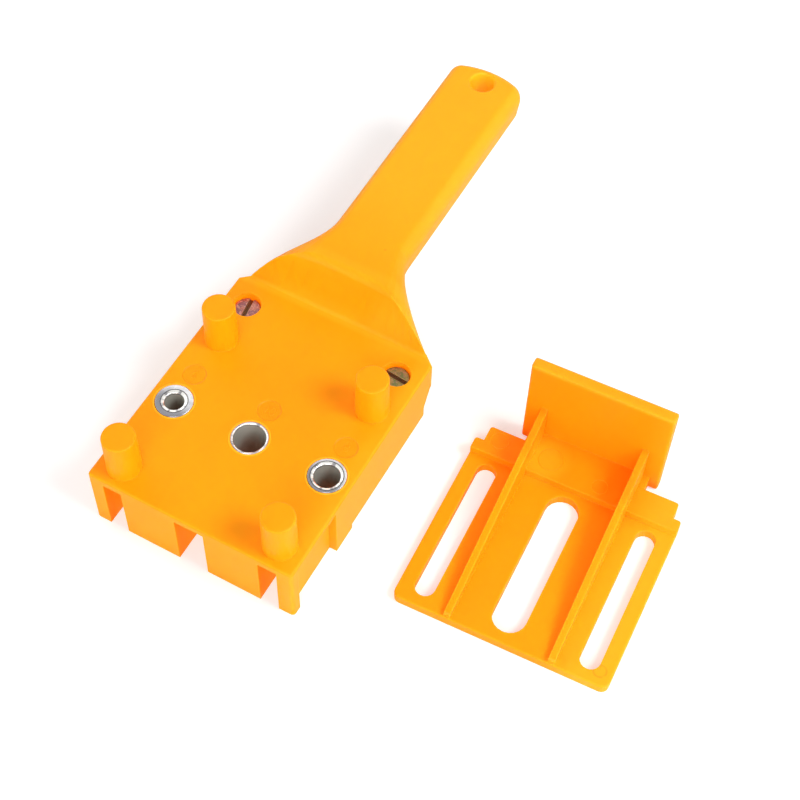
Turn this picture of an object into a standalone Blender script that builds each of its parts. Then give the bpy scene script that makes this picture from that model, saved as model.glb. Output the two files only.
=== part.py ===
"""Hand-held dowel drill guide with its edge fence lying beside it.

The guide is one plastic moulding: a thin-walled head with four locating pegs, a flared neck that
steps up from the head, and a cored handle. Three hardened bushes are pressed into the head and two
slotted screws with nuts stand at its rear corners. The fence is a second moulding: a slotted plate
with two tapering ribs and an upright.

X runs across the head, Y from the head's front to the end of the handle, Z up.
"""

import math

import bmesh
import bpy
from mathutils import Vector

MM = 0.001

# Head
HEAD_W = 72.0 * MM
HEAD_L = 90.0 * MM
HEAD_H = 24.9 * MM
TOP_T = 2.8 * MM
WALL_T = 2.8 * MM
RIB_T = 2.2 * MM
HEAD_CORNER = 3.9 * MM
HEAD_EDGE_R = 0.7 * MM
REAR_WALL_INSET = 7.8 * MM
REAR_CUT_LOW = 6.9 * MM
REAR_CUT_HIGH = 13.2 * MM
REAR_CUT_RUN = 3.6 * MM
REAR_CUT_RISE = 5.0 * MM
HEAD_FRONT_R = 1.2 * MM

# Front legs, sight gaps and the set-back side wall
LEG_W = 5.4 * MM
LEG_D = 3.6 * MM
SIDE_RECESS = 2.6 * MM
SIDE_RECESS_END = 25.8 * MM
SIDE_LIP_T = 2.3 * MM
MID_GAP_W = 10.2 * MM
SIDE_GAP_W = 6.5 * MM
FOOT_L = 35.3 * MM
SKIRT_LIFT = 2.4 * MM
GAP_REACH = 1.0 * MM

# Bushes
BUSH_PITCH = 27.5 * MM
BUSH_Y = 35.1 * MM
BUSH_OD = 12.4 * MM
BUSH_OD_MIDDLE = 12.1 * MM
BUSH_BOSS_WALL = 2.1 * MM
BUSH_BOTTOM = 3.0 * MM
BUSH_PROUD = 0.1 * MM
BORE_CLEARANCE = 0.1 * MM
BUSH_EDGE = 0.25 * MM
DRILL_LEFT = 6.0 * MM
DRILL_MIDDLE = 10.0 * MM
DRILL_RIGHT = 8.0 * MM
LEAD_LEFT = 1.25 * MM
LEAD_MIDDLE = 0.65 * MM
LEAD_RIGHT = 1.1 * MM
LEAD_DEPTH = 0.6 * MM

# Shallow round marks behind the bushes
MARK_D = 7.8 * MM
MARK_DEPTH = 0.25 * MM
MARK_SLOPE = 0.35 * MM
MARK_BEHIND = 11.6 * MM

# Pegs on the head's top face
PEG_X = 27.5 * MM
PEG_FRONT_Y = 7.8 * MM
PEG_REAR_INSET = 27.1 * MM
PEG_D = 10.6 * MM
PEG_H = 16.5 * MM
PEG_DRAFT = 0.15 * MM
PEG_EDGE_R = 0.5 * MM

# Fence screws at the rear of the head
SCREW_X = 27.65 * MM
SCREW_INSET = 11.85 * MM
SCREW_D = 5.0 * MM
SCREW_HEAD_D = 8.8 * MM
SCREW_HEAD_H = 3.0 * MM
SCREW_SINK = 1.9 * MM
SCREW_SLOT_W = 1.5 * MM
SCREW_SLOT_DEPTH = 1.2 * MM
SCREW_TIP = 0.4 * MM
SCREW_EDGE = 0.35 * MM
SCREW_BOSS_D = 13.4 * MM
NUT_AF = 8.0 * MM
NUT_H = 4.0 * MM
NUT_SEAT_D = 11.6 * MM
SLOT_ANGLE_LEFT = math.radians(98.0)
SLOT_ANGLE_RIGHT = math.radians(-6.0)

# Neck and handle
NECK_W = 67.4 * MM
NECK_FOOT_INSET = 2.0 * MM
NECK_L = 24.2 * MM
NECK_FLARE = 1.88
NECK_SHOULDER_W = 22.0 * MM
NECK_RISE = 17.9 * MM
NECK_WALL_RUN = 8.4 * MM
NECK_FOOT_R = 1.6 * MM
NECK_TOP_R = 3.2 * MM
NECK_WALL_BOW = 2.8 * MM
NECK_ROOT = 3.2 * MM
NECK_SINK = 0.8 * MM
HANDLE_W = 27.2 * MM
HANDLE_T = 13.0 * MM
HANDLE_DRAFT = 0.9 * MM
HANDLE_END = 196.7 * MM
HANDLE_EDGE_R = 3.6 * MM
HANDLE_EDGE_H = 5.5 * MM
HANDLE_LOW_R = 1.2 * MM
HANDLE_END_R = 30.0 * MM
HANDLE_CORNER_R = 4.8 * MM
HANG_HOLE_D = 8.4 * MM
HANG_HOLE_RIM_R = 0.9 * MM
HANG_HOLE_INSET = 8.0 * MM
HANG_BOSS_WALL = 2.4 * MM
HANDLE_CORES = 3
HANDLE_CORE_R = 0.4 * MM

# Fence
FENCE_X = 94.1 * MM
FENCE_Y = 21.3 * MM
FENCE_TURN = math.radians(3.0)
FENCE_W = 70.5 * MM
FENCE_T = 3.5 * MM
FENCE_CORNER_R = 2.4 * MM
FENCE_RIM_R = 0.4 * MM
FENCE_RAISED_R = 0.9 * MM
FENCE_STEP_Y = 57.4 * MM
FENCE_STEP_H = 2.8 * MM
FENCE_SHOULDER_Y = 61.6 * MM
FENCE_TAB_W = 64.7 * MM
FENCE_TAB_Y = 67.4 * MM
FENCE_TONGUE_W = 41.0 * MM
FENCE_SLOT_END = 3.7 * MM
FENCE_SLOT_L = 51.7 * MM
FENCE_SLOT_X = 27.2 * MM
FENCE_MIDDLE_SLOT_W = 10.8 * MM
RIB_X = 17.1 * MM
RIB_W = 2.2 * MM
RIB_H = 16.4 * MM
RIB_FRONT_H = 1.8 * MM
UPRIGHT_W = 47.2 * MM
UPRIGHT_Y = 72.4 * MM
UPRIGHT_T = 4.0 * MM
UPRIGHT_H = 39.8 * MM
UPRIGHT_LIFT = 0.3 * MM
UPRIGHT_EDGE_R = 0.8 * MM

# Shared clearance between pieces that touch
GAP = 0.3 * MM
OVER = 2.0 * MM

ORANGE = (1.0, 0.402, 0.012, 1.0)
STEEL = (0.62, 0.62, 0.62, 1.0)
ZINC = (0.42, 0.33, 0.30, 1.0)

HEAD_HALF = HEAD_W / 2
INNER_X = HEAD_HALF - LEG_W
UNDER_TOP = HEAD_H - TOP_T
HANDLE_TOP = HEAD_H + NECK_RISE
HANDLE_LOW = HANDLE_TOP - HANDLE_T
BOSS_D = BUSH_OD + 2 * (GAP + BUSH_BOSS_WALL)
BOSS_FRONT = BUSH_Y - BOSS_D / 2
REAR_WALL_Y = HEAD_L - REAR_WALL_INSET
PEG_REAR_Y = HEAD_L - PEG_REAR_INSET
SCREW_Y = HEAD_L - SCREW_INSET
NECK_FOOT_Y = HEAD_L - NECK_FOOT_INSET
BUSHES = (("bush_6mm", -BUSH_PITCH, BUSH_OD, DRILL_LEFT, LEAD_LEFT),
          ("bush_10mm", 0.0, BUSH_OD_MIDDLE, DRILL_MIDDLE, LEAD_MIDDLE),
          ("bush_8mm", BUSH_PITCH, BUSH_OD, DRILL_RIGHT, LEAD_RIGHT))


def clear_scene():
    for obj in list(bpy.data.objects):
        bpy.data.objects.remove(obj, do_unlink=True)
    for mesh in list(bpy.data.meshes):
        bpy.data.meshes.remove(mesh)


def material(name, colour, roughness, metallic):
    mat = bpy.data.materials.new(name)
    mat.use_nodes = True
    shader = mat.node_tree.nodes["Principled BSDF"]
    shader.inputs["Base Color"].default_value = colour
    shader.inputs["Roughness"].default_value = roughness
    shader.inputs["Metallic"].default_value = metallic
    mat.diffuse_color = colour
    return mat


def make_object(name, bm, mat=None, parent=None):
    bmesh.ops.recalc_face_normals(bm, faces=bm.faces[:])
    mesh = bpy.data.meshes.new(name)
    bm.to_mesh(mesh)
    bm.free()
    obj = bpy.data.objects.new(name, mesh)
    bpy.context.scene.collection.objects.link(obj)
    obj.parent = parent
    if mat is None:
        obj.hide_render = True
        obj.display_type = "WIRE"
    else:
        mesh.materials.append(mat)
        mesh.shade_smooth()
        mesh.set_sharp_from_angle(angle=math.radians(32))
    return obj


def boolean(obj, tool, operation):
    mod = obj.modifiers.new(operation.title() + " " + tool.name, "BOOLEAN")
    mod.operation = operation
    mod.object = tool
    mod.solver = "EXACT"
    return mod


def prism(outline, low, high):
    """Extrude an outline of (x, y) points from one height to another."""
    bm = bmesh.new()
    face = bm.faces.new([bm.verts.new((x, y, low)) for x, y in outline])
    made = bmesh.ops.extrude_face_region(bm, geom=[face])
    top = [v for v in made["geom"] if isinstance(v, bmesh.types.BMVert)]
    bmesh.ops.translate(bm, verts=top, vec=(0, 0, high - low))
    return bm


def prism_along_x(profile, x0, x1):
    """Extrude a side profile of (y, z) points across X."""
    bm = bmesh.new()
    face = bm.faces.new([bm.verts.new((x0, y, z)) for y, z in profile])
    made = bmesh.ops.extrude_face_region(bm, geom=[face])
    end = [v for v in made["geom"] if isinstance(v, bmesh.types.BMVert)]
    bmesh.ops.translate(bm, verts=end, vec=(x1 - x0, 0, 0))
    return bm


def box(x0, x1, y0, y1, z0, z1):
    return prism([(x0, y0), (x1, y0), (x1, y1), (x0, y1)], z0, z1)


def circle(cx, cy, radius, segments=40):
    step = 2 * math.pi / segments
    return [(cx + radius * math.cos(i * step), cy + radius * math.sin(i * step)) for i in range(segments)]


def rounded(corners, steps=4):
    """Outline from (x, y, radius) corners, each turned into an arc."""
    points = []
    count = len(corners)
    for i, (x, y, radius) in enumerate(corners):
        here = Vector((x, y))
        if radius <= 0:
            points.append((x, y))
            continue
        back = (Vector(corners[i - 1][:2]) - here).normalized()
        ahead = (Vector(corners[(i + 1) % count][:2]) - here).normalized()
        half = back.angle(ahead) / 2
        reach = radius / math.tan(half)
        centre = here + (back + ahead).normalized() * (radius / math.sin(half))
        start = here + back * reach - centre
        end = here + ahead * reach - centre
        turn = start.angle_signed(end)
        for k in range(steps + 1):
            angle = -turn * k / steps
            c, s = math.cos(angle), math.sin(angle)
            points.append((centre.x + start.x * c - start.y * s, centre.y + start.x * s + start.y * c))
    return points


def slot_outline(cx, y0, y1, width, steps=10):
    """Long slot along Y with round ends."""
    r = width / 2
    points = []
    for k in range(steps + 1):
        a = math.pi * k / steps
        points.append((cx + r * math.cos(a), y1 - r + r * math.sin(a)))
    for k in range(steps + 1):
        a = math.pi + math.pi * k / steps
        points.append((cx + r * math.cos(a), y0 + r + r * math.sin(a)))
    return points


def loft(rings):
    """Closed skin through rings of equal length, with flat ends."""
    bm = bmesh.new()
    loops = [[bm.verts.new(p) for p in ring] for ring in rings]
    count = len(loops[0])
    for a, b in zip(loops, loops[1:]):
        for i in range(count):
            j = (i + 1) % count
            bm.faces.new((a[i], a[j], b[j], b[i]))
    bm.faces.new(loops[0])
    bm.faces.new(loops[-1])
    return bm


def turned(profile, cx=0.0, cy=0.0, segments=40, closed=False):
    """Revolve (radius, z) points about a vertical axis; a closed profile makes a ring."""
    bm = bmesh.new()
    step = 2 * math.pi / segments
    rows = []
    for r, z in profile:
        if r < 1e-9:
            rows.append([bm.verts.new((cx, cy, z))])
        else:
            rows.append([bm.verts.new((cx + r * math.cos(i * step), cy + r * math.sin(i * step), z))
                         for i in range(segments)])
    pairs = list(zip(rows, rows[1:]))
    if closed:
        pairs.append((rows[-1], rows[0]))
    for a, b in pairs:
        for i in range(segments):
            j = (i + 1) % segments
            if len(a) == 1:
                bm.faces.new((a[0], b[i], b[j]))
            elif len(b) == 1:
                bm.faces.new((a[i], a[j], b[0]))
            else:
                bm.faces.new((a[i], a[j], b[j], b[i]))
    return bm


def smooth_edges(bm, picked, width, segments):
    bmesh.ops.bevel(bm, geom=picked, offset=width, segments=segments, profile=0.5, affect="EDGES")


def neck_share(y):
    """1 where the neck leaves the head, 0 where it has become the handle."""
    t = min(max((y - NECK_FOOT_Y) / NECK_L, 0.0), 1.0)
    return (1.0 - t) ** NECK_FLARE


def half_width(y):
    return HANDLE_W / 2 + (NECK_W - HANDLE_W) / 2 * neck_share(y)


def shoulder(y):
    """Width and height of the rounded upper edge: broad on the neck, tight on the handle."""
    share = neck_share(y)
    wide = HANDLE_EDGE_R + (NECK_SHOULDER_W - HANDLE_EDGE_R) * share ** 1.3
    high = HANDLE_EDGE_H + (NECK_RISE - HANDLE_EDGE_H) * share ** 1.3
    return wide, high


def underside(y):
    """Lower face of the neck: it climbs from the head's rear wall to the handle."""
    t = min(max((y - REAR_WALL_Y) / (NECK_FOOT_Y + NECK_L - REAR_WALL_Y), 0.0), 1.0)
    return REAR_CUT_LOW + (HANDLE_LOW - REAR_CUT_LOW) * (1.0 - (1.0 - t) ** 1.7)


def side_levels(y):
    """How far in and how high the grip's side runs, from its lower to its upper edge.

    The upper edge is a quarter round on the handle and opens into a slope at the neck's foot.
    """
    low = underside(y)
    wide, high = shoulder(y)
    slope = neck_share(y) ** 2.5
    levels = []
    for k in range(4):
        a = math.radians(30 * k)
        levels.append((HANDLE_LOW_R * (1 - math.sin(a)), low + HANDLE_LOW_R * (1 - math.cos(a))))
    for k in range(8):
        a = math.radians(90 * k / 7)
        s = k / 7
        run = (1 - math.cos(a)) * (1 - slope) + s * slope
        rise = math.sin(a) * (1 - slope) + (1 - (1 - s) ** 2) * slope
        levels.append((wide * run, HANDLE_TOP - high * (1 - rise)))
    edge = HANDLE_TOP - high
    return [(inset + HANDLE_DRAFT * max(edge - z, 0.0) / (edge - low), z) for inset, z in levels]


def handle_end(inset):
    """Outline of the handle's end at an inset: corner arcs joined by one wide arc."""
    corner_x = HANDLE_W / 2 - HANDLE_CORNER_R
    span = HANDLE_END_R - HANDLE_CORNER_R
    corner_y = HANDLE_END - HANDLE_END_R + math.sqrt(span ** 2 - corner_x ** 2)
    lean = math.asin(corner_x / span)
    points = []
    for k in range(7):
        a = (math.pi / 2 - lean) * k / 6
        r = HANDLE_CORNER_R - inset
        points.append((corner_x + r * math.cos(a), corner_y + r * math.sin(a)))
    for k in range(1, 5):
        a = lean * (1 - k / 4)
        r = HANDLE_END_R - inset
        points.append((r * math.sin(a), HANDLE_END - HANDLE_END_R + r * math.cos(a)))
    return points + [(-x, y) for x, y in reversed(points[:-1])]


def grip_form():
    """Neck and handle: one skin through cross-sections, closed round the handle's end."""
    neck_end = NECK_FOOT_Y + NECK_L
    stations = [NECK_FOOT_Y - NECK_ROOT] + [NECK_FOOT_Y + NECK_L * k / 12 for k in range(13)]
    end_start = handle_end(0.0)[0][1]
    stations += [neck_end + (end_start - neck_end) * k / 5 for k in range(1, 5)]
    bm = bmesh.new()
    right, left = [], []
    for y in stations:
        wide = half_width(y)
        levels = side_levels(y)
        right.append([bm.verts.new((wide - inset, y, z)) for inset, z in levels])
        left.append([bm.verts.new((inset - wide, y, z)) for inset, z in levels])
    turns = [[bm.verts.new((x, y, z)) for x, y in handle_end(inset)] for inset, z in side_levels(end_start)]
    columns = right + [list(column) for column in zip(*turns)] + left[::-1]
    for a, b in zip(columns, columns[1:]):
        for k in range(len(a) - 1):
            bm.faces.new((a[k], b[k], b[k + 1], a[k + 1]))
    bm.faces.new(right[0] + left[0][::-1])
    for k in (0, -1):
        for i in range(len(stations) - 1):
            bm.faces.new((right[i][k], right[i + 1][k], left[i + 1][k], left[i][k]))
        bm.faces.new([right[-1][k]] + turns[k] + [left[-1][k]])
    return bm


def neck_wall_profile():
    """Side profile of the step between head and neck, as (run, rise) points from its foot."""
    slope = math.atan2(NECK_RISE, NECK_WALL_RUN * 0.62)
    flat, crown = math.radians(10), math.radians(5)

    def turn(radius, start, end):
        angles = [start + (end - start) * k / 5 for k in range(6)]
        return [(radius * abs(math.sin(a) - math.sin(start)), radius * abs(math.cos(a) - math.cos(start)))
                for a in angles]

    foot = turn(NECK_FOOT_R, flat, slope)
    brow = turn(NECK_TOP_R, slope, crown)
    rise = NECK_RISE - brow[-1][1]
    run = foot[-1][0] + (rise - foot[-1][1]) / math.tan(slope)
    return foot + [(run + y, rise + z) for y, z in brow]


def build_grip():
    """Neck and handle as one loft, its front face cut to the curved step above the head."""
    grip = make_object("grip_form", grip_form())
    profile = neck_wall_profile()
    sink = NECK_SINK
    start = (profile[0][0] - sink / math.tan(math.radians(60)), -sink)
    end = (profile[-1][0] + OVER, profile[-1][1] + OVER * math.tan(math.radians(5)) + 0.05 * MM)
    front = -5 * OVER
    rings = []
    for k in range(25):
        x = HEAD_HALF * (k - 12) / 12
        bow = NECK_WALL_BOW * min((x / (NECK_W * 0.36)) ** 2, 1.6)
        ring = []
        for run, rise in [start] + profile + [end]:
            share = max(rise, 0.0) / NECK_RISE
            ring.append((x, NECK_FOOT_Y + run - bow * min(share, 1.0), HEAD_H + rise))
        ring.append((x, NECK_FOOT_Y + front, HEAD_H + end[1] + OVER))
        ring.append((x, NECK_FOOT_Y + front, HEAD_H - sink))
        ring.insert(len(ring) - 2, (x, ring[-3][1], HEAD_H + end[1] + OVER))
        rings.append(ring)
    boolean(grip, make_object("grip_front_cut", loft(rings)), "DIFFERENCE")
    return grip


def head_block():
    corner = HEAD_CORNER
    outline = [(-HEAD_HALF, 0), (HEAD_HALF, 0), (HEAD_HALF, HEAD_L - corner * 0.86),
               (HEAD_HALF - corner, HEAD_L), (-HEAD_HALF + corner, HEAD_L),
               (-HEAD_HALF, HEAD_L - corner * 0.86)]
    bm = prism(outline, 0.0, HEAD_H)
    upright = [e for e in bm.edges if abs(e.verts[0].co.z - e.verts[1].co.z) > HEAD_H / 2
               and e.verts[0].co.y < HEAD_L / 2]
    smooth_edges(bm, upright, HEAD_FRONT_R, 3)
    rim = [e for e in bm.edges if min(v.co.z for v in e.verts) > HEAD_H - 1e-6]
    smooth_edges(bm, rim, HEAD_EDGE_R, 2)
    return bm


def bush_centres():
    return [(name, x, BUSH_Y, outer, drill, lead) for name, x, outer, drill, lead in BUSHES]


def screw_centres():
    return [("left", -SCREW_X, SCREW_Y, SLOT_ANGLE_LEFT), ("right", SCREW_X, SCREW_Y, SLOT_ANGLE_RIGHT)]


def head_cavity():
    """Hollow behind the bush bosses, less the bosses and stiffening ribs left standing in it."""
    rear = REAR_WALL_Y - WALL_T
    front = BOSS_FRONT + RIB_T
    hollow = make_object("cavity_form", box(-INNER_X, INNER_X, front, rear, -OVER, UNDER_TOP))
    low, high = -2 * OVER, HEAD_H
    for name, x, y, outer, drill, lead in bush_centres():
        boss = prism(circle(x, y, BOSS_D / 2, 36), low, high)
        boolean(hollow, make_object("boss_" + name, boss), "DIFFERENCE")
    for side, x, y, angle in screw_centres():
        boss = prism(circle(x, y, SCREW_BOSS_D / 2, 32), low, high)
        boolean(hollow, make_object("boss_screw_" + side, boss), "DIFFERENCE")
    for k, x in enumerate((-BUSH_PITCH / 2, BUSH_PITCH / 2)):
        rib = box(x - RIB_T / 2, x + RIB_T / 2, front - OVER, rear + OVER, low, high)
        boolean(hollow, make_object("long_rib_%d" % k, rib), "DIFFERENCE")
    cross = (BUSH_Y + SCREW_Y) / 2
    rib = box(-HEAD_HALF, HEAD_HALF, cross - RIB_T / 2, cross + RIB_T / 2, low, high)
    boolean(hollow, make_object("cross_rib", rib), "DIFFERENCE")
    return hollow


def build_body(mat, root):
    body = make_object("guide_body", head_block(), mat, root)
    cuts = []

    def cut(name, bm):
        cuts.append(make_object(name, bm))

    block_in = MID_GAP_W / 2
    block_out = INNER_X - SIDE_GAP_W
    pocket_rear = BOSS_FRONT - RIB_T
    cut("gap_middle", box(-block_in, block_in, -OVER, BOSS_FRONT + GAP_REACH, -OVER, UNDER_TOP))
    for side, name in ((-1, "left"), (1, "right")):
        x0, x1 = sorted((side * block_out, side * INNER_X))
        cut("gap_" + name, box(x0, x1, -OVER, BOSS_FRONT + GAP_REACH, -OVER, UNDER_TOP))
        x0, x1 = sorted((side * (block_in + WALL_T), side * (block_out - WALL_T)))
        cut("block_pocket_" + name, box(x0, x1, WALL_T, pocket_rear, -OVER, UNDER_TOP))
        x0, x1 = sorted((side * (HEAD_HALF - SIDE_RECESS), side * (HEAD_HALF + OVER)))
        recess = box(x0, x1, LEG_D, SIDE_RECESS_END, -OVER, HEAD_H - SIDE_LIP_T)
        cut("side_recess_" + name, recess)
    cuts.append(head_cavity())
    wide = HEAD_HALF + OVER
    cut("skirt_cut", box(-wide, wide, FOOT_L, HEAD_L + OVER, -OVER, SKIRT_LIFT))
    rear = [(REAR_WALL_Y, -OVER), (REAR_WALL_Y, REAR_CUT_LOW), (REAR_WALL_Y + REAR_CUT_RUN, REAR_CUT_HIGH),
            (HEAD_L + OVER, REAR_CUT_HIGH + REAR_CUT_RISE), (HEAD_L + OVER, -OVER)]
    cut("rear_cut", prism_along_x(rear, -wide, wide))
    for tool in cuts:
        boolean(body, tool, "DIFFERENCE")

    for name, x, y, outer, drill, lead in bush_centres():
        r = MARK_D / 2
        base = HEAD_H - MARK_DEPTH
        mark = [(0, base), (r - MARK_SLOPE, base), (r, HEAD_H), (r, HEAD_H + OVER), (0, HEAD_H + OVER)]
        boolean(body, make_object("mark_" + name, turned(mark, x, y + MARK_BEHIND, 36)), "DIFFERENCE")
    boolean(body, build_grip(), "UNION")
    pegs = [(side * PEG_X, y) for y in (PEG_FRONT_Y, PEG_REAR_Y) for side in (-1, 1)]
    for k, (x, y) in enumerate(pegs):
        r = PEG_D / 2
        top = HEAD_H + PEG_H
        e = PEG_EDGE_R
        profile = [(0, HEAD_H - TOP_T / 2), (r + PEG_DRAFT, HEAD_H - TOP_T / 2), (r, top - e),
                   (r - e * 0.29, top - e * 0.29), (r - e, top), (0, top)]
        boolean(body, make_object("peg_%d" % k, turned(profile, x, y, 36)), "UNION")

    for name, x, y, outer, drill, lead in bush_centres():
        seat = prism(circle(x, y, outer / 2 + GAP, 40), BUSH_BOTTOM - GAP, HEAD_H + OVER)
        boolean(body, make_object("seat_" + name, seat), "DIFFERENCE")
        way = prism(circle(x, y, (drill + BORE_CLEARANCE) / 2 + GAP, 32), -OVER, BUSH_BOTTOM)
        boolean(body, make_object("way_" + name, way), "DIFFERENCE")
    for side, x, y, angle in screw_centres():
        head_seat = HEAD_H - SCREW_SINK - SCREW_HEAD_H - GAP
        counter = prism(circle(x, y, SCREW_HEAD_D / 2 + GAP, 36), head_seat, HEAD_H + OVER)
        boolean(body, make_object("counterbore_" + side, counter), "DIFFERENCE")
        hole = prism(circle(x, y, SCREW_D / 2 + GAP, 28), -OVER, head_seat + OVER)
        boolean(body, make_object("screw_hole_" + side, hole), "DIFFERENCE")
        seat = prism(circle(x, y, NUT_SEAT_D / 2, 32), -OVER, NUT_H + GAP)
        boolean(body, make_object("nut_seat_" + side, seat), "DIFFERENCE")

    hole_y = HANDLE_END - HANG_HOLE_INSET
    core_end = hole_y - HANG_HOLE_D / 2 - HANG_BOSS_WALL
    core_start = HEAD_L + WALL_T
    span = (core_end - core_start + RIB_T) / HANDLE_CORES
    for k in range(HANDLE_CORES):
        y0 = core_start + k * span
        y1 = y0 + span - RIB_T
        rings = []
        for j in range(7):
            y = y0 + (y1 - y0) * j / 6
            w = half_width(y) - HANDLE_DRAFT - WALL_T
            top = HANDLE_TOP - WALL_T
            in_x, in_z = (max(size - WALL_T, HANDLE_CORE_R) for size in shoulder(y))
            low = REAR_CUT_LOW - OVER
            if k == 0:
                top = min(top, HEAD_H + (y - NECK_FOOT_Y - NECK_WALL_RUN) * 6.0)
                top = max(top, HEAD_H)
            rings.append([(-w, y, low), (w, y, low), (w, y, top - in_z), (w - in_x, y, top),
                          (in_x - w, y, top), (-w, y, top - in_z)])
        boolean(body, make_object("handle_core_%d" % k, loft(rings)), "DIFFERENCE")
    r = HANG_HOLE_D / 2
    rim = HANG_HOLE_RIM_R
    arc = [(r + rim * (1 - math.cos(a)), HANDLE_TOP - rim * (1 - math.sin(a)))
           for a in (math.radians(18 * k) for k in range(5))]
    profile = [(0, HANDLE_LOW - OVER), (r, HANDLE_LOW - OVER)] + arc
    profile += [(r + rim, HANDLE_TOP + 0.05 * MM), (r + rim, HANDLE_TOP + OVER), (0, HANDLE_TOP + OVER)]
    boolean(body, make_object("hanging_hole", turned(profile, 0, hole_y, 36)), "DIFFERENCE")
    return body


def build_bushes(root):
    for name, x, y, outside, drill, lead in bush_centres():
        mat = material(name + "_steel", STEEL, 0.18, 1.0)
        bore = (drill + BORE_CLEARANCE) / 2
        outer = outside / 2
        top = HEAD_H + BUSH_PROUD
        edge = BUSH_EDGE
        low = BUSH_BOTTOM
        outside_line = [(outer - edge, top), (outer, top - edge), (outer, low + edge), (outer - edge, low)]
        bore_line = [(bore + edge, low), (bore, low + edge)]
        for k in range(6):
            a = math.radians(18 * k)
            bore_line.append((bore + lead * (1 - math.cos(a)), top - LEAD_DEPTH * (1 - math.sin(a))))
        make_object(name, turned(outside_line + bore_line, x, y, 48, closed=True), mat, root)


def build_screws(root):
    for side, x, y, angle in screw_centres():
        mat = material("clamp_screw_%s_zinc" % side, ZINC, 0.35, 1.0)
        top = HEAD_H - SCREW_SINK
        r = SCREW_HEAD_D / 2
        edge = SCREW_EDGE
        seat = top - SCREW_HEAD_H
        profile = [(0, SCREW_TIP), (SCREW_D / 2 - edge, SCREW_TIP), (SCREW_D / 2, SCREW_TIP + edge),
                   (SCREW_D / 2, seat), (r, seat), (r, top - edge), (r - edge, top), (0, top)]
        screw = make_object("clamp_screw_" + side, turned(profile, 0, 0, 36), mat, root)
        screw.location = (x, y, 0)
        screw.rotation_euler = (0, 0, angle)
        half = SCREW_SLOT_W / 2
        slot_form = box(-r - OVER, r + OVER, -half, half, top - SCREW_SLOT_DEPTH, top + OVER)
        slot = make_object("screw_slot_" + side, slot_form)
        slot.parent = root
        slot.location = screw.location
        slot.rotation_euler = screw.rotation_euler
        boolean(screw, slot, "DIFFERENCE")

        nut_mat = material("clamp_nut_%s_zinc" % side, ZINC, 0.35, 1.0)
        across = NUT_AF / math.sqrt(3)
        hexagon = [(x + across * math.cos(math.radians(60 * k)), y + across * math.sin(math.radians(60 * k)))
                   for k in range(6)]
        nut = make_object("clamp_nut_" + side, prism(hexagon, 0.0, NUT_H), nut_mat, root)
        hole = prism(circle(x, y, SCREW_D / 2 + GAP, 28), -OVER, NUT_H + OVER)
        thread = make_object("nut_thread_" + side, hole)
        thread.parent = root
        boolean(nut, thread, "DIFFERENCE")


def build_fence(root):
    place = bpy.data.objects.new("fence_place", None)
    bpy.context.scene.collection.objects.link(place)
    place.parent = root
    place.location = (FENCE_X, FENCE_Y, 0)
    place.rotation_euler = (0, 0, FENCE_TURN)
    half = FENCE_W / 2
    tab = FENCE_TAB_W / 2
    tongue = FENCE_TONGUE_W / 2
    r = FENCE_CORNER_R
    mat = material("fence_plate_orange", ORANGE, 0.42, 0.0)
    join = FENCE_STEP_Y + OVER
    plate = rounded([(-half, 0, r), (half, 0, r), (half, join, 0), (-half, join, 0)])
    bm = prism(plate, 0.0, FENCE_T)
    rim = [e for e in bm.edges if min(v.co.z for v in e.verts) > FENCE_T - 1e-6
           and min(v.co.y for v in e.verts) < join - 1e-6]
    smooth_edges(bm, rim, FENCE_RIM_R, 2)
    fence = make_object("fence_plate", bm, mat, place)

    edge = FENCE_RAISED_R
    raised = rounded([(-half, FENCE_STEP_Y, 0), (half, FENCE_STEP_Y, 0), (half, FENCE_SHOULDER_Y, edge),
                      (tab, FENCE_SHOULDER_Y, 0), (tab, FENCE_TAB_Y, edge), (tongue, FENCE_TAB_Y, 0),
                      (tongue, UPRIGHT_Y + UPRIGHT_T / 2, 0), (-tongue, UPRIGHT_Y + UPRIGHT_T / 2, 0),
                      (-tongue, FENCE_TAB_Y, 0), (-tab, FENCE_TAB_Y, edge), (-tab, FENCE_SHOULDER_Y, 0),
                      (-half, FENCE_SHOULDER_Y, edge)], 3)
    pieces = [("fence_raised", prism(raised, 0.0, FENCE_T + FENCE_STEP_H))]

    wide = UPRIGHT_W / 2
    bm = box(-wide, wide, UPRIGHT_Y, UPRIGHT_Y + UPRIGHT_T, UPRIGHT_LIFT, UPRIGHT_H)
    smooth_edges(bm, bm.edges[:], UPRIGHT_EDGE_R, 2)
    pieces.append(("fence_upright", bm))

    run = UPRIGHT_Y + UPRIGHT_T / 2
    front = 0.6 * MM
    slope = (RIB_H - RIB_FRONT_H) / (UPRIGHT_Y - front)
    low = FENCE_T + RIB_FRONT_H
    for side, name in ((-1, "left"), (1, "right")):
        x = side * RIB_X
        profile = [(front, FENCE_T / 2), (run, FENCE_T / 2), (run, low + slope * (run - front)),
                   (front + 0.5 * MM, low), (front, low - 0.5 * MM)]
        pieces.append(("fence_rib_" + name, prism_along_x(profile, x - RIB_W / 2, x + RIB_W / 2)))
    for name, form in pieces:
        boolean(fence, make_object(name, form, None, place), "UNION")

    y0 = FENCE_SLOT_END
    y1 = y0 + FENCE_SLOT_L
    slots = ((-1, "left", SIDE_GAP_W), (0, "middle", FENCE_MIDDLE_SLOT_W), (1, "right", SIDE_GAP_W))
    for side, name, width in slots:
        slot = prism(slot_outline(side * FENCE_SLOT_X, y0, y1, width), -OVER, FENCE_T + OVER)
        boolean(fence, make_object("fence_slot_" + name, slot, None, place), "DIFFERENCE")
    return fence


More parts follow.
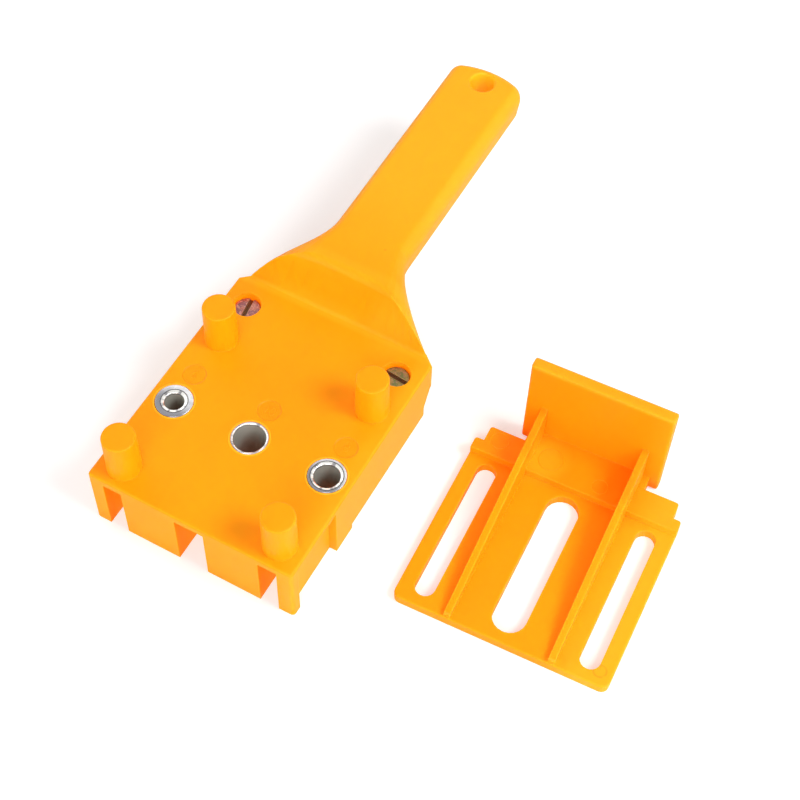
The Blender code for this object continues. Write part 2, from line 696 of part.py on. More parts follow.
def build_part():
    clear_scene()
    root = bpy.data.objects.new("part_origin", None)
    bpy.context.scene.collection.objects.link(root)
    reach = FENCE_X + (FENCE_W / 2 - FENCE_CORNER_R) * math.cos(FENCE_TURN)
    reach += FENCE_CORNER_R - FENCE_CORNER_R * math.sin(FENCE_TURN)
    root.location = (-(reach - HEAD_HALF) / 2, -HANDLE_END / 2, 0)
    body_mat = material("guide_body_orange", ORANGE, 0.42, 0.0)
    body = build_body(body_mat, root)
    for mod in body.modifiers:
        mod.object.parent = root
        for inner in mod.object.modifiers:
            inner.object.parent = root
    build_bushes(root)
    build_screws(root)
    build_fence(root)


build_part()
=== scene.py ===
"""Looks for a hand-held dowel drill guide and the edge fence lying beside it."""
import math

import bpy
from bpy.props import FloatProperty, FloatVectorProperty, PointerProperty
from bpy.types import Operator, Panel, PropertyGroup
from mathutils import Matrix, Vector


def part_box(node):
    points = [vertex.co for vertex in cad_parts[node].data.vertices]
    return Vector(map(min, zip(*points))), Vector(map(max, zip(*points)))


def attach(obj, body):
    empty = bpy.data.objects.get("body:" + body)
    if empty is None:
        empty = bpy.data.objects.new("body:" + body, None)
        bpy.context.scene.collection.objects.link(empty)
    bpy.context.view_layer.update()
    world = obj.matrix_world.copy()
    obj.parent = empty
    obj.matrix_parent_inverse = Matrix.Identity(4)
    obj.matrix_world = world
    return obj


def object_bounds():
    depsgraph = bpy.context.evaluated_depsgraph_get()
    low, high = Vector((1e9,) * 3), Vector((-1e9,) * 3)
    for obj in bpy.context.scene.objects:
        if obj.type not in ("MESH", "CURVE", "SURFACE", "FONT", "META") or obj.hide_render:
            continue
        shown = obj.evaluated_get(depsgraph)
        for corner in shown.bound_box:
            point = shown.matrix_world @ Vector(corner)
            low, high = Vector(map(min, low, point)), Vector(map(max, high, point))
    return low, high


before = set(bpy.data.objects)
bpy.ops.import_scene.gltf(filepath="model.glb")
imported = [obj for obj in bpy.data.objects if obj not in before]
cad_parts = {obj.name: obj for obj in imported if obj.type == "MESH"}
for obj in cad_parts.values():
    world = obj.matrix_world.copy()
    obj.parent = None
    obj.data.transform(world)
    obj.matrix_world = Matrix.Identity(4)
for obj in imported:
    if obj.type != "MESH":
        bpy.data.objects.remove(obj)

bl_info = {
    "name": "Dowel drill guide looks",
    "version": (1, 0, 0),
    "blender": (4, 5, 0),
    "location": "View3D > Sidebar > Drill Guide",
    "description": "Moulded plastic, ground bushes, plated screws, size figures and a studio stage",
    "category": "Material",
}

MM = 0.001
X, Y, Z = range(3)
CAD_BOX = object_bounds()

GUIDE_LOW, GUIDE_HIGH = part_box("guide_body")
GUIDE_MIDDLE_X = (GUIDE_LOW.x + GUIDE_HIGH.x) / 2
HANDLE_TOP = GUIDE_HIGH.z

# Bushes: the drill size marked behind each, and the width of the lead into its bore
BUSHES = {"bush_6mm": "6", "bush_10mm": "10", "bush_8mm": "8"}
BUSH_LEADS = {"bush_6mm": 1.25 * MM, "bush_10mm": 0.65 * MM, "bush_8mm": 1.1 * MM}
BUSH_PROUD = 0.1 * MM
HEAD_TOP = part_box("bush_10mm")[1].z - BUSH_PROUD
TOP_THICKNESS = 2.8 * MM
MARK_BEHIND = 11.6 * MM
MARK_DEPTH = 0.25 * MM
MARK_RADIUS = 3.75 * MM

# Holes of the guide whose walls get painted light: sizes, the softness of the lit round's rim, the
# share of the pale tone and the added painted glow
HANGING_HOLE_INSET = 8.0 * MM
HANGING_HOLE_RADIUS = 4.3 * MM
COUNTERBORE_RADIUS = 4.85 * MM
HOLE_RIM = 0.4 * MM
HANGING_HOLE_PALE, HANGING_HOLE_LIGHT = 0.8, 0.25
COUNTERBORE_PALE, COUNTERBORE_LIGHT = 0.0, 0.3

# Painted light inside the three front gaps, placed from the left wall of each
LEG_WIDTH = 5.4 * MM
SIDE_GAP_WIDTH = 6.5 * MM
MIDDLE_GAP_HALF = 5.1 * MM
GAP_WALLS_X = (GUIDE_LOW.x + LEG_WIDTH, GUIDE_MIDDLE_X - MIDDLE_GAP_HALF,
               GUIDE_HIGH.x - LEG_WIDTH - SIDE_GAP_WIDTH)
GAP_LIGHT_ASIDE = 4.7 * MM
GAP_LIGHT_BEHIND = 7.3 * MM
GAP_RADIUS = 4.5 * MM
GAP_RIM = 3.0 * MM
GAP_PALE, GAP_LIGHT = 0.0, 0.2

# Painted light (the pale lists) and painted shade (the deep list) as slow changes of colour along
# a piece: axis, start, end and share of the other tone. The fence's painted edge highlights are
# wider than the guide's.
GUIDE_PAINTED_LIGHT_RAMPS = [(Y, -12.0 * MM, 40.0 * MM, 0.52), (X, -18.0 * MM, -11.0 * MM, 0.35)]
FENCE_PAINTED_LIGHT_RAMPS = [(Z, 37.6 * MM, 39.4 * MM, 0.45), (X, 58.0 * MM, 76.0 * MM, 0.75)]
FENCE_PAINTED_SHADE_RAMPS = [(Y, -25.0 * MM, -19.0 * MM, 0.4)]
FENCE_EDGE_WIDTH = 1.1 * MM

# Painted highlights: pale bands at the foot and the brow of the neck: axis, middle, half width
# and share
NECK_FOOT_Y = GUIDE_LOW.y + 89.1 * MM
GUIDE_PAINTED_HIGHLIGHT_BANDS = [(Y, NECK_FOOT_Y - 1.0 * MM, 2.8 * MM, 0.45),
               (Y, NECK_FOOT_Y + 7.4 * MM, 3.4 * MM, 0.25)]

# Painted light as pale spots: middle, radius, softness and share
GUIDE_PAINTED_LIGHT_SPOTS = [(Vector((-25.0, -8.0, 31.0)) * MM, 8.0 * MM, 14.0 * MM, 0.8)]
FENCE_PAINTED_LIGHT_SPOTS = [(Vector((31.0, -14.5, 6.3)) * MM, 7.0 * MM, 9.0 * MM, 0.55)]

# Small marks: middle and radius of a dark speck, a rubbed ring and the ejector pins' marks
GUIDE_SPECKS = [((-39.6 * MM, 9.2 * MM, HANDLE_TOP), 0.4 * MM)]
FENCE_SCUFFS = [(Vector((78.4, -70.7, 3.5)) * MM, 2.0 * MM)]
FENCE_PINS = [
    (Vector((34.0, -13.4, 6.3)) * MM, 4.0 * MM),
    (Vector((51.9, -14.8, 6.3)) * MM, 2.6 * MM),
    (Vector((16.6, -15.1, 6.3)) * MM, 3.0 * MM),
]

# Added pieces: how deep they are seated in the plastic, and the steps round their rings
LIP_SEAT, PIN_RING_SEAT = 0.3 * MM, 0.2 * MM
LIP_STEPS, PIN_RING_STEPS = 72, 64
LIP_GAP, LIP_SHOULDER, LIP_CURVE_STEPS = 0.02 * MM, 0.12 * MM, 5
DIGIT_SHARE_OF_SIZE = 0.72

# Lamps: name, direction from the object, distance, width and the setting with its power
LAMPS = (
    ("key_lamp", Vector((1.0, 0.05, 1.15)), 2.0, 0.9, "key_power"),
    ("front_lamp", Vector((0.25, -1.0, 0.55)), 2.2, 1.7, "front_power"),
    ("fill_lamp", Vector((-1.0, 0.35, 0.7)), 2.0, 1.2, "fill_power"),
)

# Floor and light tent: the tone that lights the object, where the floor turns white, the height
# from which the shine fades and its share straight above
FLOOR_BOUNCE = 0.72
FLOOR_FADE = (0.6, 1.8)
SHINE_FADE_START = 0.35
ROOF_SHINE_SHARE = 0.58

# Camera: the point it looks at, and its place above the front right corner of the head
CAMERA_TARGET = Vector((-20.824, -13.337, 0.0)) * MM
CAMERA_AZIMUTH = math.radians(27.163)
CAMERA_ELEVATION = math.radians(56.181)
CAMERA_ROLL = math.radians(2.064)
CAMERA_DISTANCE = 547.99 * MM
CAMERA_LENS = 74.667
SENSOR_WIDTH = 36.0
NEAREST_SEEN = 0.01

# Shading: samples of the rounded edges and of the hollows' painted shade
BEVEL_SAMPLES = 6
HOLLOW_SAMPLES = 8


def node_middle(name):
    low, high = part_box(name)
    return (low + high) / 2


def top_middle(name):
    """Middle of a CAD piece at the height of its top."""
    middle = node_middle(name)
    return Vector((middle.x, middle.y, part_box(name)[1].z))


# Sizes and colours that a user would change


class PlasticSettings(PropertyGroup):
    tone: FloatVectorProperty(
        name="Tone", description="Colour of the moulded plastic in plain light",
        subtype="COLOR", size=3, min=0.0, max=1.0, default=(1.0, 0.372, 0.002))
    # deep_tone: painted shade in hollows, fence rear and pin marks; painted glow; random drift
    deep_tone: FloatVectorProperty(
        name="Deep tone", description="Redder colour of the plastic in its corners and hollows",
        subtype="COLOR", size=3, min=0.0, max=1.0, default=(1.0, 0.21, 0.002))
    # edge_tone: painted light on edges, bands, spots, lit hole walls, lip tops and pale ramps
    edge_tone: FloatVectorProperty(
        name="Edge tone", description="Paler colour along the moulded edges",
        subtype="COLOR", size=3, min=0.0, max=1.0, default=(1.0, 0.50, 0.018))
    roughness: FloatProperty(
        name="Roughness", description="Satin finish of the mould", subtype="FACTOR",
        min=0.0, max=1.0, default=0.42)
    grain_size: FloatProperty(
        name="Grain size", description="Size of the fine mould texture", unit="LENGTH",
        min=0.00005, max=0.01, default=0.0005, precision=5)
    edge_radius: FloatProperty(
        name="Edge radius", description="Roundness of the moulded edges in the shading",
        unit="LENGTH", min=0.0, max=0.003, default=0.00035, precision=5)
    depth: FloatProperty(
        name="Light depth", description="How far light spreads inside the plastic", unit="LENGTH",
        min=0.0, max=0.02, default=0.0035, precision=4)
    pin_ring_width: FloatProperty(
        name="Pin ring width", description="Width of the rings left by the ejector pins",
        unit="LENGTH", min=0.00005, max=0.002, default=0.0003, precision=5)
    pin_ring_height: FloatProperty(
        name="Pin ring height", description="Height of the rings left by the ejector pins",
        unit="LENGTH", min=0.00001, max=0.001, default=0.00005, precision=5)
    # Painted glow: an emission in the deep tone over the whole plastic, more in lit holes
    glow: FloatProperty(
        name="Glow", description="Light that the translucent orange gives back in its shadows",
        min=0.0, max=1.0, default=0.17)


class BushSettings(PropertyGroup):
    steel: FloatVectorProperty(
        name="Steel", description="Colour of the ground face in the light", subtype="COLOR", size=3,
        min=0.0, max=1.0, default=(0.97, 0.97, 0.98))
    deep_steel: FloatVectorProperty(
        name="Deep steel", description="Colour of the ground face away from the light",
        subtype="COLOR", size=3, min=0.0, max=1.0, default=(0.17, 0.165, 0.19))
    lead_steel: FloatVectorProperty(
        name="Lead steel", description="Colour of the polished lead into the bore", subtype="COLOR",
        size=3, min=0.0, max=1.0, default=(0.95, 0.94, 0.89))
    bore_steel: FloatVectorProperty(
        name="Bore steel", description="Brown grey of the hardened, oiled bore", subtype="COLOR",
        size=3, min=0.0, max=1.0, default=(0.53, 0.52, 0.46))
    roughness: FloatProperty(
        name="Roughness", description="Finish of the ground face", subtype="FACTOR",
        min=0.0, max=1.0, default=0.22)
    dome: FloatProperty(
        name="Dome", description="How much the ground face falls away to its edges",
        min=0.0, max=0.5, default=0.12)
    ring_pitch: FloatProperty(
        name="Ring pitch", description="Spacing of the turning marks", unit="LENGTH",
        min=0.00002, max=0.002, default=0.00022, precision=5)
    lip_width: FloatProperty(
        name="Lip width", description="Width of the moulded lip round each bush", unit="LENGTH",
        min=0.0001, max=0.003, default=0.00055, precision=5)
    lip_height: FloatProperty(
        name="Lip height", description="Height of the moulded lip above the head", unit="LENGTH",
        min=0.00002, max=0.001, default=0.00009, precision=5)


class ScrewSettings(PropertyGroup):
    clear_zinc: FloatVectorProperty(
        name="Left plating", description="Rosy grey plating of the left screw and nut",
        subtype="COLOR", size=3, min=0.0, max=1.0, default=(0.50, 0.20, 0.15))
    clear_bloom: FloatVectorProperty(
        name="Left bloom", description="Violet bloom on the left plating",
        subtype="COLOR", size=3, min=0.0, max=1.0, default=(0.28, 0.13, 0.15))
    yellow_zinc: FloatVectorProperty(
        name="Right plating", description="Olive bronze plating of the right screw and nut",
        subtype="COLOR", size=3, min=0.0, max=1.0, default=(0.37, 0.28, 0.10))
    yellow_bloom: FloatVectorProperty(
        name="Right bloom", description="Green bloom on the right plating",
        subtype="COLOR", size=3, min=0.0, max=1.0, default=(0.17, 0.21, 0.08))
    clear_blush: FloatVectorProperty(
        name="Left blush", description="Pink patches on the left plating",
        subtype="COLOR", size=3, min=0.0, max=1.0, default=(0.68, 0.35, 0.28))
    yellow_blush: FloatVectorProperty(
        name="Right blush", description="Pink patches on the right plating",
        subtype="COLOR", size=3, min=0.0, max=1.0, default=(0.44, 0.25, 0.18))
    # Painted shade: this brown darkens the driver slot below its upper walls
    slot_shade_tone: FloatVectorProperty(
        name="Slot", description="Brown dirt in the driver slots",
        subtype="COLOR", size=3, min=0.0, max=1.0, default=(0.10, 0.034, 0.012))
    # Painted light: this pale colour lights the slot's upper walls; it also makes the rim paler
    edge_tone: FloatVectorProperty(
        name="Worn edges", description="Bare metal on the walls of the slot and along the rim",
        subtype="COLOR", size=3, min=0.0, max=1.0, default=(0.75, 0.58, 0.36))
    roughness: FloatProperty(
        name="Roughness", description="Dullness of the plating", subtype="FACTOR",
        min=0.0, max=1.0, default=0.36)
    thread_pitch: FloatProperty(
        name="Thread pitch", description="Pitch of the screw thread", unit="LENGTH",
        min=0.0001, max=0.005, default=0.0008, precision=4)


class FigureSettings(PropertyGroup):
    height: FloatProperty(
        name="Height", description="Height of the raised drill sizes", unit="LENGTH",
        min=0.001, max=0.01, default=0.0034, precision=4)
    relief: FloatProperty(
        name="Relief", description="How far the figures stand up", unit="LENGTH",
        min=0.00002, max=0.001, default=0.00007, precision=5)


class StageSettings(PropertyGroup):
    horizon_level: FloatProperty(
        name="Wall light", description="Strength of the pale walls of the light tent",
        min=0.0, max=3.0, default=0.8)
    zenith_level: FloatProperty(
        name="Roof light", description="Strength of the light tent straight above",
        min=0.0, max=3.0, default=0.16)
    shine_level: FloatProperty(
        name="Room shine", description="How bright the tent walls look in glossy surfaces",
        min=0.0, max=3.0, default=1.35)
    key_power: FloatProperty(
        name="Key lamp", description="Power of the soft lamp at the right", unit="POWER",
        min=0.0, max=400.0, default=25.5)
    front_power: FloatProperty(
        name="Front lamp", description="Power of the soft lamp above the front", unit="POWER",
        min=0.0, max=400.0, default=26.0)
    fill_power: FloatProperty(
        name="Fill lamp", description="Power of the weak lamp behind the left side", unit="POWER",
        min=0.0, max=400.0, default=4.5)
    floor_tone: FloatProperty(
        name="Floor tone", description="How pale the floor looks in full light", subtype="FACTOR",
        min=0.0, max=1.0, default=0.72)
    floor_glow: FloatProperty(
        name="Floor glow", description="White added to the floor where the camera sees it",
        min=0.0, max=1.0, default=0.48)
    floor_size: FloatProperty(
        name="Floor size", description="Width of the pale floor", unit="LENGTH",
        min=0.5, max=50.0, default=8.0)


# Node helpers and shared shader groups


def new_group(name, inputs, outputs):
    group = bpy.data.node_groups.new(name, "ShaderNodeTree")
    for label, kind, value in inputs:
        socket = group.interface.new_socket(name=label, in_out="INPUT", socket_type=kind)
        if value is not None:
            socket.default_value = value
    for label, kind in outputs:
        group.interface.new_socket(name=label, in_out="OUTPUT", socket_type=kind)
    return group, group.nodes.new("NodeGroupInput"), group.nodes.new("NodeGroupOutput")


def join(tree, a, b):
    tree.links.new(a, b)


def feed(tree, socket, value):
    """Sets a plain number or colour on a socket, and links anything else to it."""
    if isinstance(value, (int, float, tuple, list, Vector)):
        socket.default_value = value
    else:
        join(tree, value, socket)


def maths(tree, operation, *values, clamp=False):
    node = tree.nodes.new("ShaderNodeMath")
    node.operation = operation
    node.use_clamp = clamp
    for socket, value in zip(node.inputs, values):
        feed(tree, socket, value)
    return node.outputs[0]


def times(tree, a, b):
    return maths(tree, "MULTIPLY", a, b)


def vector_maths(tree, operation, a, b=None, out=0):
    node = tree.nodes.new("ShaderNodeVectorMath")
    node.operation = operation
    feed(tree, node.inputs[0], a)
    if b is not None:
        feed(tree, node.inputs[1], b)
    return node.outputs[out]


def ramp(tree, value, start, end, low=0.0, high=1.0):
    node = tree.nodes.new("ShaderNodeMapRange")
    node.interpolation_type = "SMOOTHSTEP"
    for socket, amount in zip(node.inputs, (value, start, end, low, high)):
        feed(tree, socket, amount)
    return node.outputs[0]


def blend_colours(tree, share, a, b):
    node = tree.nodes.new("ShaderNodeMix")
    node.data_type = "RGBA"
    for socket, value in zip((node.inputs[0], node.inputs[6], node.inputs[7]), (share, a, b)):
        feed(tree, socket, value)
    return node.outputs[2]


def noise(tree, place, scale, detail=2.0, roughness=0.5):
    node = tree.nodes.new("ShaderNodeTexNoise")
    node.inputs["Detail"].default_value = detail
    node.inputs["Roughness"].default_value = roughness
    join(tree, place, node.inputs["Vector"])
    feed(tree, node.inputs["Scale"], scale)
    return node.outputs["Fac"]


def object_place(tree):
    return tree.nodes.new("ShaderNodeTexCoord").outputs["Object"]


def part_of_place(tree, axis):
    parts = tree.nodes.new("ShaderNodeSeparateXYZ")
    join(tree, object_place(tree), parts.inputs[0])
    return parts.outputs[axis]


def mould_grain_group():
    """Fine satin texture of a spark eroded mould, with a slow waviness from shrinkage."""
    wave_scale, patch_scale, fine_share = 55.0, 160.0, 0.16
    group, given, made = new_group(
        "Mould Grain",
        [("Grain Size", "NodeSocketFloat", 0.0005), ("Roughness", "NodeSocketFloat", 0.42),
         ("Variation", "NodeSocketFloat", 0.08)],
        [("Height", "NodeSocketFloat"), ("Roughness", "NodeSocketFloat")])
    place = object_place(group)
    fine = noise(group, place, maths(group, "DIVIDE", 1.0, given.outputs["Grain Size"]), 3.0, 0.6)
    slow = noise(group, place, wave_scale, 1.0)
    patch = noise(group, place, patch_scale, 3.0, 0.6)
    height = maths(group, "ADD", times(group, fine, fine_share), slow)
    join(group, height, made.inputs["Height"])
    swing = maths(group, "SUBTRACT", patch, 0.5)
    swing = times(group, swing, given.outputs["Variation"])
    rough = maths(group, "ADD", given.outputs["Roughness"], swing, clamp=True)
    join(group, rough, made.inputs["Roughness"])
    return group


def corner_shade_group():
    """Masks for moulded edges and for corners and hollows, for painted highlights and painted
    shade.
    """
    edge_turn, open_edge, closed_in = (0.99, 0.80), (0.45, 0.8), (0.85, 0.15)
    group, given, made = new_group(
        "Edges And Hollows",
        [("Edge Width", "NodeSocketFloat", 0.0006), ("Hollow Reach", "NodeSocketFloat", 0.012)],
        [("Edge", "NodeSocketFloat"), ("Hollow", "NodeSocketFloat")])
    bevel = group.nodes.new("ShaderNodeBevel")
    bevel.samples = BEVEL_SAMPLES
    join(group, given.outputs["Edge Width"], bevel.inputs["Radius"])
    surface = group.nodes.new("ShaderNodeNewGeometry")
    turn = vector_maths(group, "DOT_PRODUCT", bevel.outputs[0], surface.outputs["Normal"], out=1)
    hollow = group.nodes.new("ShaderNodeAmbientOcclusion")
    hollow.samples = HOLLOW_SAMPLES
    join(group, given.outputs["Hollow Reach"], hollow.inputs["Distance"])
    open_share = hollow.outputs["AO"]
    edge = ramp(group, turn, *edge_turn)
    edge = times(group, edge, ramp(group, open_share, *open_edge))
    join(group, edge, made.inputs["Edge"])
    join(group, ramp(group, open_share, *closed_in), made.inputs["Hollow"])
    return group


def round_mark_group():
    """Disc and ring masks for one round mark on a face, such as an ejector pin's."""
    group, given, made = new_group(
        "Round Mark",
        [("Centre", "NodeSocketVector", None), ("Radius", "NodeSocketFloat", 0.003),
         ("Softness", "NodeSocketFloat", 0.0002)],
        [("Disc", "NodeSocketFloat"), ("Ring", "NodeSocketFloat")])
    place = object_place(group)
    away = vector_maths(group, "DISTANCE", place, given.outputs["Centre"], out=1)
    past = maths(group, "SUBTRACT", away, given.outputs["Radius"])
    soft = given.outputs["Softness"]
    outside, inside = times(group, soft, 0.5), times(group, soft, -0.5)
    join(group, ramp(group, past, outside, inside), made.inputs["Disc"])
    join(group, ramp(group, maths(group, "ABSOLUTE", past), soft, 0.0), made.inputs["Ring"])
    return group


def round_axis_group():
    """Distance from an upright axis, height above its centre, turning marks and a thread."""
    mark_scale = 1.3
    group, given, made = new_group(
        "Turned Metal",
        [("Centre", "NodeSocketVector", None), ("Pitch", "NodeSocketFloat", 0.0002)],
        [("Distance", "NodeSocketFloat"), ("Marks", "NodeSocketFloat"),
         ("Thread", "NodeSocketFloat"), ("Height Above", "NodeSocketFloat")])
    place = vector_maths(group, "SUBTRACT", object_place(group), given.outputs["Centre"])
    parts = group.nodes.new("ShaderNodeSeparateXYZ")
    join(group, place, parts.inputs[0])
    x, y, z = parts.outputs
    square = maths(group, "ADD", times(group, x, x), times(group, y, y))
    away = maths(group, "SQRT", square)
    join(group, away, made.inputs["Distance"])
    join(group, z, made.inputs["Height Above"])
    line = group.nodes.new("ShaderNodeCombineXYZ")
    join(group, maths(group, "DIVIDE", away, given.outputs["Pitch"]), line.inputs[0])
    join(group, noise(group, line.outputs[0], mark_scale, 4.0, 0.7), made.inputs["Marks"])
    angle = maths(group, "DIVIDE", maths(group, "ARCTAN2", y, x), 2 * math.pi)
    rise = maths(group, "DIVIDE", z, given.outputs["Pitch"])
    wave = maths(group, "PINGPONG", maths(group, "ADD", rise, angle), 0.5)
    join(group, times(group, wave, 2.0), made.inputs["Thread"])
    return group


def metal_wear_group():
    """Small stains and rubbed patches on plated or hardened metal."""
    cloud_scale, fine_scale, cloud_range = 420.0, 2600.0, (0.38, 0.72)
    fine_share, dulling = 0.2, 0.25
    group, given, made = new_group(
        "Metal Wear",
        [("Clean", "NodeSocketColor", (0.5, 0.5, 0.5, 1.0)),
         ("Stain", "NodeSocketColor", (0.2, 0.15, 0.1, 1.0)),
         ("Amount", "NodeSocketFloat", 0.4), ("Roughness", "NodeSocketFloat", 0.3)],
        [("Color", "NodeSocketColor"), ("Roughness", "NodeSocketFloat")])
    place = object_place(group)
    cloud = ramp(group, noise(group, place, cloud_scale, 4.0, 0.65), *cloud_range)
    fine = maths(group, "SUBTRACT", noise(group, place, fine_scale, 2.0, 0.6), 0.5)
    share = times(group, cloud, given.outputs["Amount"])
    share = maths(group, "ADD", share, times(group, fine, fine_share), clamp=True)
    colour = blend_colours(group, share, given.outputs["Clean"], given.outputs["Stain"])
    join(group, colour, made.inputs["Color"])
    dull = times(group, share, dulling)
    rough = maths(group, "ADD", given.outputs["Roughness"], dull, clamp=True)
    join(group, rough, made.inputs["Roughness"])
    return group


def plating_bloom_group():
    """Mottled colours of passivated zinc."""
    small_size, small_offset = 1.9, (0.03, 0.05, 0.01)
    broad_range, small_range = (0.44, 0.56), (0.52, 0.62)
    group, given, made = new_group(
        "Plating Bloom",
        [("First", "NodeSocketColor", (0.5, 0.5, 0.5, 1.0)),
         ("Second", "NodeSocketColor", (0.4, 0.4, 0.4, 1.0)),
         ("Third", "NodeSocketColor", (0.3, 0.3, 0.3, 1.0)), ("Size", "NodeSocketFloat", 0.001)],
        [("Color", "NodeSocketColor")])
    place = object_place(group)
    scale = maths(group, "DIVIDE", 1.0, given.outputs["Size"])
    broad = ramp(group, noise(group, place, scale, 3.0, 0.6), *broad_range)
    aside = vector_maths(group, "ADD", place, small_offset)
    small = noise(group, aside, times(group, scale, small_size), 3.0, 0.65)
    colour = blend_colours(group, broad, given.outputs["First"], given.outputs["Second"])
    colour = blend_colours(group, ramp(group, small, *small_range), colour, given.outputs["Third"])
    join(group, colour, made.inputs["Color"])
    return group


GROUP_MAKERS = {
    "Mould Grain": mould_grain_group,
    "Edges And Hollows": corner_shade_group,
    "Round Mark": round_mark_group,
    "Turned Metal": round_axis_group,
    "Metal Wear": metal_wear_group,
    "Plating Bloom": plating_bloom_group,
}


def place_group(tree, name, **values):
    """Puts a shared group into a material, built the first time it is asked for."""
    node = tree.nodes.new("ShaderNodeGroup")
    node.node_tree = bpy.data.node_groups.get(name) or GROUP_MAKERS[name]()
    for label, value in values.items():
        feed(tree, node.inputs[label.replace("_", " ")], value)
    return node


# Materials

# Moulded plastic: reach of its hollows' painted shade, width of its painted edge highlights, and
# shares of the other tones
HOLLOW_REACH, EDGE_WIDTH = 14.0 * MM, 0.6 * MM
HOLLOW_SHADE_SHARE, EDGE_HIGHLIGHT_SHARE = 0.4, 0.8
DRIFT_SCALE, DRIFT_RANGE, DRIFT_SHARE = 32.0, (0.3, 0.7), 0.12
LIT_WALL_DROP = 0.4 * MM
BAND_CORE = 0.2
PIN_RIM, PIN_GROOVE, PIN_RING_SHARE, PIN_DISC_SHARE = 0.25 * MM, 0.8, 0.5, 0.15
SCUFF_RIM, SCUFF_SCALE, SCUFF_RANGE, SCUFF_SHARE = 0.5 * MM, 260.0, (0.42, 0.6), 0.35
SPECK_RIM, SPECK_SHARE = 0.3 * MM, 0.3
SCUFF_TONE, SPECK_TONE = (0.50, 0.12, 0.01), (0.45, 0.14, 0.01)
PLASTIC_SPECULAR = 0.17
INNER_LIGHT, INNER_SPREAD = 0.5, (1.0, 0.22, 0.05)
GRAIN_STRENGTH, GRAIN_DEPTH = 0.25, 0.05 * MM

# Bush steel: the painted shade that darkens its ground face across, the painted sheen of its
# turning marks, the painted reflection patches on its lead, the reach of the brown bore, and the
# dark lines at its edges
BUSH_WEAR = 0.45
SWEEP_WAY, SWEEP_RANGE, SWEEP_SHARE = (0.25, 0.97, 0.0), (0.65, -0.45), 0.9
WIDE_FACE = 1.0 * MM
TURNING_SHEEN_TONE, TURNING_SHEEN_SHARE, TURNED_HEIGHT = (0.86, 0.88, 0.93), 0.25, 0.004
LEAD_REFLECTION_SCALE, LEAD_REFLECTION_RANGE, LEAD_REFLECTION_SHARE = 1.9, (0.47, 0.58), 0.75
LEAD_RIM, FLAT_RIM = 0.05 * MM, 0.1 * MM
BORE_RIM, BORE_DROP = (0.2 * MM, 0.12 * MM), (-0.3 * MM, -0.7 * MM)
BORE_DULLING, BORE_METAL_LOSS = 0.12, 0.5
LEAD_LINE, BORE_LINE = (0.06 * MM, 0.95), (0.1 * MM, 0.5)
OUTER_LINE_SHARE = 0.35
LINE_TONE = (0.05, 0.045, 0.05)
LINE_FADE, LINE_DROP = (0.22 * MM, 0.06 * MM), (-1.2 * MM, -0.8 * MM)
BUSH_METAL, BUSH_BRUSHED = 0.9, 0.3

# Screws: heights below the top, and distances from the axis, over which their masks rise. The slot
# masks paint light on its upper walls and shade deeper in it
SLOT_MOUTH, SLOT_ROUND = (-0.2 * MM, -0.6 * MM), (4.35 * MM, 4.2 * MM)
SLOT_FLOOR, SLOT_SHADE_DROP, SLOT_SHARE = (-2.9 * MM, -2.6 * MM), (-0.9 * MM, -1.12 * MM), 0.9
RIM_DROP, RIM_SHARE = (-0.5 * MM, -0.1 * MM), 0.75
SHANK_DROP, SHANK_ROUND = (-3.1 * MM, -4.0 * MM), (3.2 * MM, 2.8 * MM)
SCREW_EDGE_WIDTH, SCREW_HOLLOW_REACH = 0.3 * MM, 0.6 * MM
BLOOM_SIZE, STAIN_DARKNESS, SCREW_WEAR = 1.4 * MM, 0.55, 0.35
SCREW_METAL = 0.9
SCREW_GRAIN_SCALE, SCREW_GRAIN_SHARE, THREAD_DEPTH = 1800.0, 0.06, 0.25 * MM
METAL_EDGE_RADIUS = 0.2 * MM


def full(colour):
    """Colour with full alpha, as the colour sockets take it."""
    return tuple(colour) + (1.0,)


def new_material(name, colour):
    material = bpy.data.materials.new(name)
    material.use_nodes = True
    material.diffuse_color = full(colour)
    tree = material.node_tree
    return material, tree, tree.nodes["Principled BSDF"]


def tinted(tree, colour, tone, mask, share=None):
    """Turns a colour towards a tone where the mask is, by up to a share."""
    if share is not None:
        mask = times(tree, mask, share)
    return blend_colours(tree, mask, colour, full(tone))


def add_bump(tree, shader, height, strength, distance, edge_radius):
    """Relief from a height, over edges that the shading rounds."""
    bevel = tree.nodes.new("ShaderNodeBevel")
    bevel.samples = BEVEL_SAMPLES
    bevel.inputs["Radius"].default_value = edge_radius
    bump = tree.nodes.new("ShaderNodeBump")
    bump.inputs["Strength"].default_value = strength
    bump.inputs["Distance"].default_value = distance
    join(tree, height, bump.inputs["Height"])
    join(tree, bevel.outputs[0], bump.inputs["Normal"])
    join(tree, bump.outputs[0], shader.inputs["Normal"])


def lit_wall(tree, centre, radius, soft):
    """Mask for the walls of a hole, below the height of its centre, where light is painted."""
    hole = place_group(tree, "Turned Metal", Centre=centre)
    near = ramp(tree, hole.outputs["Distance"], radius + soft, radius)
    below = ramp(tree, hole.outputs["Height Above"], 0.0, -LIT_WALL_DROP)
    return times(tree, near, below)


